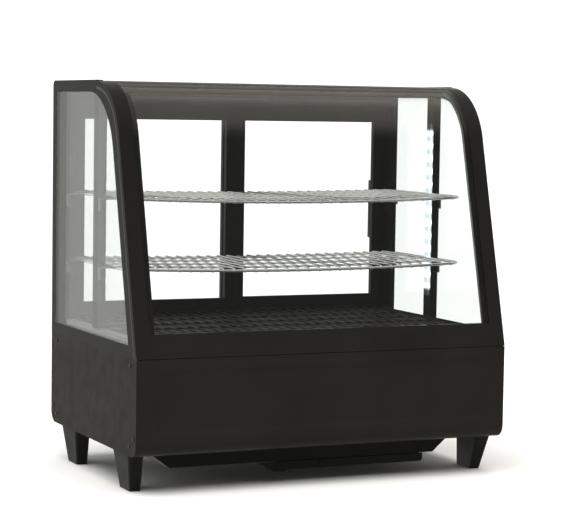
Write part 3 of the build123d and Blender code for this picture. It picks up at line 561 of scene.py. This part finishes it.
def light_strips():
    """On each post: a white board, a row of lamps and a rounded milky lens over them."""
    low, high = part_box("light_strips")
    middle = (low.y + high.y) / 2
    post_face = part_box("right_mid_post")[0].x
    boards, lens = bmesh.new(), bmesh.new()
    for sign in (-1, 1):
        back = sign * high.x
        face = sign * (high.x - 0.0018)
        bar(boards, (min(back, face), low.y + 0.001, low.z), (max(back, face), high.y - 0.001, high.z), 0.0003, 0)
        for k in range(LAMP_COUNT):
            z = LAMP_START + LAMP_PITCH * k
            chip = sign * (high.x - 0.0030)
            bar(
                boards, (min(face, chip), middle - 0.0025, z - 0.0025),
                (max(face, chip), middle + 0.0025, z + 0.0025), 0.0004, 1,
            )
        arc = [(-cos(pi * j / 10) * LENS_WIDTH / 2, sin(pi * j / 10) * LENS_PROUD) for j in range(11)]
        ends = []
        for z in (low.z, high.z):
            ends.append([lens.verts.new((sign * (post_face - d), middle + y, z)) for y, d in arc])
        for j in range(10):
            lens.faces.new((ends[0][j], ends[0][j + 1], ends[1][j + 1], ends[1][j]))
        lens.faces.new(ends[0])
        lens.faces.new(ends[1])
    piece("lamp_boards", boards, [BOARD, LED_CHIP], "cabinet", ["light_strips"])
    piece("lamp_lenses", lens, [LOOKS["led_lens"]], "cabinet", smooth=True)


light_strips()


# ------------------------------------------------------------ screws, studs and nuts

def screw(bm, matrix, radius, height):
    """Pan head with a cross recess."""
    outer = [(radius, 0.0), (radius, height * 0.45), (radius * 0.86, height * 0.85), (radius * 0.55, height)]
    rings = lathe(bm, outer, matrix)
    arm, waist = radius * 0.42, radius * 0.12
    outline = []
    for k in range(4):
        a = pi / 2 * k
        for u, v in ((arm, -waist), (arm, waist), (waist, waist)):
            outline.append((u * cos(a) - v * sin(a), u * sin(a) + v * cos(a)))
    upper = [bm.verts.new(matrix @ Vector((x, y, height))) for x, y in outline]
    lower = [bm.verts.new(matrix @ Vector((x * 0.8, y * 0.8, height * 0.35))) for x, y in outline]
    edges = []
    for loop in (rings[-1], upper):
        for k, v in enumerate(loop):
            w = loop[(k + 1) % len(loop)]
            edges.append(bm.edges.get((v, w)) or bm.edges.new((v, w)))
    bmesh.ops.triangle_fill(bm, edges=edges, use_beauty=True)
    for k in range(12):
        bm.faces.new((upper[k], upper[(k + 1) % 12], lower[(k + 1) % 12], lower[k]))
    bm.faces.new(lower)


def fasteners():
    """Every screw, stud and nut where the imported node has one."""
    source = copied("fasteners")
    seen = set()
    bm = bmesh.new()
    for start in source.verts:
        if start in seen:
            continue
        island, queue = set(), [start]
        while queue:
            v = queue.pop()
            if v in island:
                continue
            island.add(v)
            queue.extend(e.other_vert(v) for e in v.link_edges)
        seen |= island
        low = Vector([min(v.co[i] for v in island) for i in range(3)])
        high = Vector([max(v.co[i] for v in island) for i in range(3)])
        size, mid = high - low, (high + low) / 2
        if size.z > 0.02:
            ribs = [(0.0038 + 0.0003 * (j % 2), low.z - mid.z + size.z * j / 30) for j in range(31)]
            rings = lathe(bm, ribs, Matrix.Translation(mid), 12)
            bm.faces.new(rings[0][::-1])
            bm.faces.new(rings[-1])
            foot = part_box("base_pan")[0].z + 0.0015
            nut = [(0.0075, foot - mid.z), (0.0075, foot + 0.0055 - mid.z), (0.0062, foot + 0.0065 - mid.z)]
            rings = lathe(bm, nut, Matrix.Translation(mid), 6)
            bm.faces.new(rings[0][::-1])
            bm.faces.new(rings[-1])
        elif 0.0005 < size.x < 0.004 and abs(mid.x) > HALF:
            sign = 1 if mid.x > 0 else -1
            turn = Matrix.Rotation(sign * pi / 2, 4, "Y") @ Matrix.Rotation(mid.y * 40, 4, "Z")
            screw(bm, Matrix.Translation((sign * HALF, mid.y, mid.z)) @ turn, size.y / 2, size.x)
        elif 0.0005 < size.y < 0.004 and mid.y > REAR:
            turn = Matrix.Rotation(-pi / 2, 4, "X") @ Matrix.Rotation(mid.x * 40, 4, "Z")
            screw(bm, Matrix.Translation((mid.x, low.y, mid.z)) @ turn, size.x / 2, size.y)
    source.free()
    piece("screws_and_studs", bm, [LOOKS["fastener_steel"]], "cabinet", ["fasteners"])


fasteners()


# ------------------------------------------------------------ display digits

def digits():
    """Two seven-bar digits behind the thermostat's window."""
    low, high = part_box("controller_display")
    bars = {
        "top": (0, 1, 1), "middle": (0, 0, 1), "bottom": (0, -1, 1),
        "upper_left": (-1, 0.5, 0), "upper_right": (1, 0.5, 0),
        "lower_left": (-1, -0.5, 0), "lower_right": (1, -0.5, 0),
    }
    shown = (
        ("upper_left", "middle", "upper_right", "lower_right"),
        ("top", "upper_right", "middle", "bottom", "lower_left"),
    )
    bm = bmesh.new()
    middle = (low + high) / 2
    for place, names in enumerate(shown):
        cx = middle.x + (0.005 if place == 0 else -0.005)
        for name in names:
            across, up, flat = bars[name]
            x = cx - across * 0.0028
            z = middle.z + up * 0.0056
            w, h = (0.0024, 0.0006) if flat else (0.0006, 0.0024)
            bar(bm, (x - w, high.y - 0.0004, z - h), (x + w, high.y + 0.00015, z + h), 0.0002)
    piece("display_digits", bm, [DIGIT], "cabinet")


digits()


# ------------------------------------------------------------ camera, floor and light

FLOOR_RADIUS = 2.2
CAMERA_AT = (-1.47106, -3.25114, 0.62806)
CAMERA_TURN = (0.4288, 0.0767, 0.0156)
CAMERA_LENS = 129.28


def camera():
    """Front-left view from a little below the roof line."""
    yaw, pitch, roll = CAMERA_TURN
    ahead = Vector((sin(yaw) * cos(pitch), cos(yaw) * cos(pitch), -sin(pitch)))
    across = Vector((cos(yaw), -sin(yaw), 0))
    up = across.cross(ahead)
    right = across * cos(roll) + up * sin(roll)
    top = up * cos(roll) - across * sin(roll)
    data = bpy.data.cameras.new("camera")
    data.sensor_width = 36.0
    data.lens = CAMERA_LENS
    obj = bpy.data.objects.new("camera", data)
    turn = Matrix((right, top, -ahead)).transposed()
    obj.matrix_world = Matrix.Translation(CAMERA_AT) @ turn.to_4x4()
    bpy.context.scene.collection.objects.link(obj)
    bpy.context.scene.camera = obj


def floor():
    """Round white table top, wide enough to run out of the picture."""
    bm = bmesh.new()
    bmesh.ops.create_circle(bm, cap_ends=True, segments=96, radius=FLOOR_RADIUS)
    mesh = bpy.data.meshes.new("floor")
    bm.to_mesh(mesh)
    bm.free()
    s = Shader("floor_white")
    tone = s.blend(s.span(s.noise(0.5), 0.0, 1.0), (0.90, 0.90, 0.90, 1), (0.92, 0.92, 0.92, 1))
    mesh.materials.append(s.finish(s.add("BsdfDiffuse", {"Color": tone})))
    obj = bpy.data.objects.new("floor", mesh)
    obj.location.z = cad_low.z - 0.0005
    obj.visible_glossy = False
    bpy.context.scene.collection.objects.link(obj)


def studio():
    """White to the camera, greyer to every other ray, and a broad soft light from above."""
    world = bpy.data.worlds.new("studio")
    world.use_nodes = True
    tree = world.node_tree
    tree.nodes.clear()

    def add(kind, inputs=None, **settings):
        node = tree.nodes.new("ShaderNode" + kind)
        for key, value in settings.items():
            setattr(node, key, value)
        for key, value in (inputs or {}).items():
            if isinstance(value, bpy.types.NodeSocket):
                tree.links.new(value, node.inputs[key])
            else:
                node.inputs[key].default_value = value
        return node

    def towards(direction, start, end):
        """Soft patch of the surroundings: 0 far from the direction, 1 facing it."""
        near = add("VectorMath", {0: add("TexCoord").outputs["Generated"], 1: direction}, operation="DOT_PRODUCT")
        settings = {"Value": near.outputs["Value"], "From Min": start, "From Max": end}
        return add("MapRange", settings, interpolation_type="SMOOTHSTEP").outputs["Result"]

    def mixed(factor, first, second):
        node = add("Mix", {0: factor, 7: second}, data_type="RGBA")
        if isinstance(first, bpy.types.NodeSocket):
            tree.links.new(first, node.inputs[6])
        else:
            node.inputs[6].default_value = first
        return node.outputs[2]

    room = mixed(towards((0.0, -1.0, 0.0), -0.3, 0.8), (0.55, 0.54, 0.52, 1), (0.15, 0.145, 0.14, 1))
    room = mixed(towards((0.0, 0.0, 1.0), 0.42, 0.85), room, (0.82, 0.76, 0.68, 1))
    room = mixed(towards((-0.94, 0.34, 0.0), 0.5, 0.9), room, (0.93, 0.97, 0.93, 1))
    seen = mixed(add("LightPath").outputs["Is Camera Ray"], room, (1.3, 1.3, 1.3, 1))
    back = add("Background", {"Color": seen})
    out = add("OutputWorld")
    tree.links.new(back.outputs[0], out.inputs["Surface"])
    bpy.context.scene.world = world
    data = bpy.data.lights.new("overhead", "SUN")
    data.energy = 3.0
    data.angle = radians(70)
    obj = bpy.data.objects.new("overhead", data)
    obj.rotation_euler = (radians(12), radians(-8), 0)
    obj.visible_glossy = False
    bpy.context.scene.collection.objects.link(obj)


camera()
floor()
studio()
bpy.context.scene.view_settings.view_transform = "Standard"
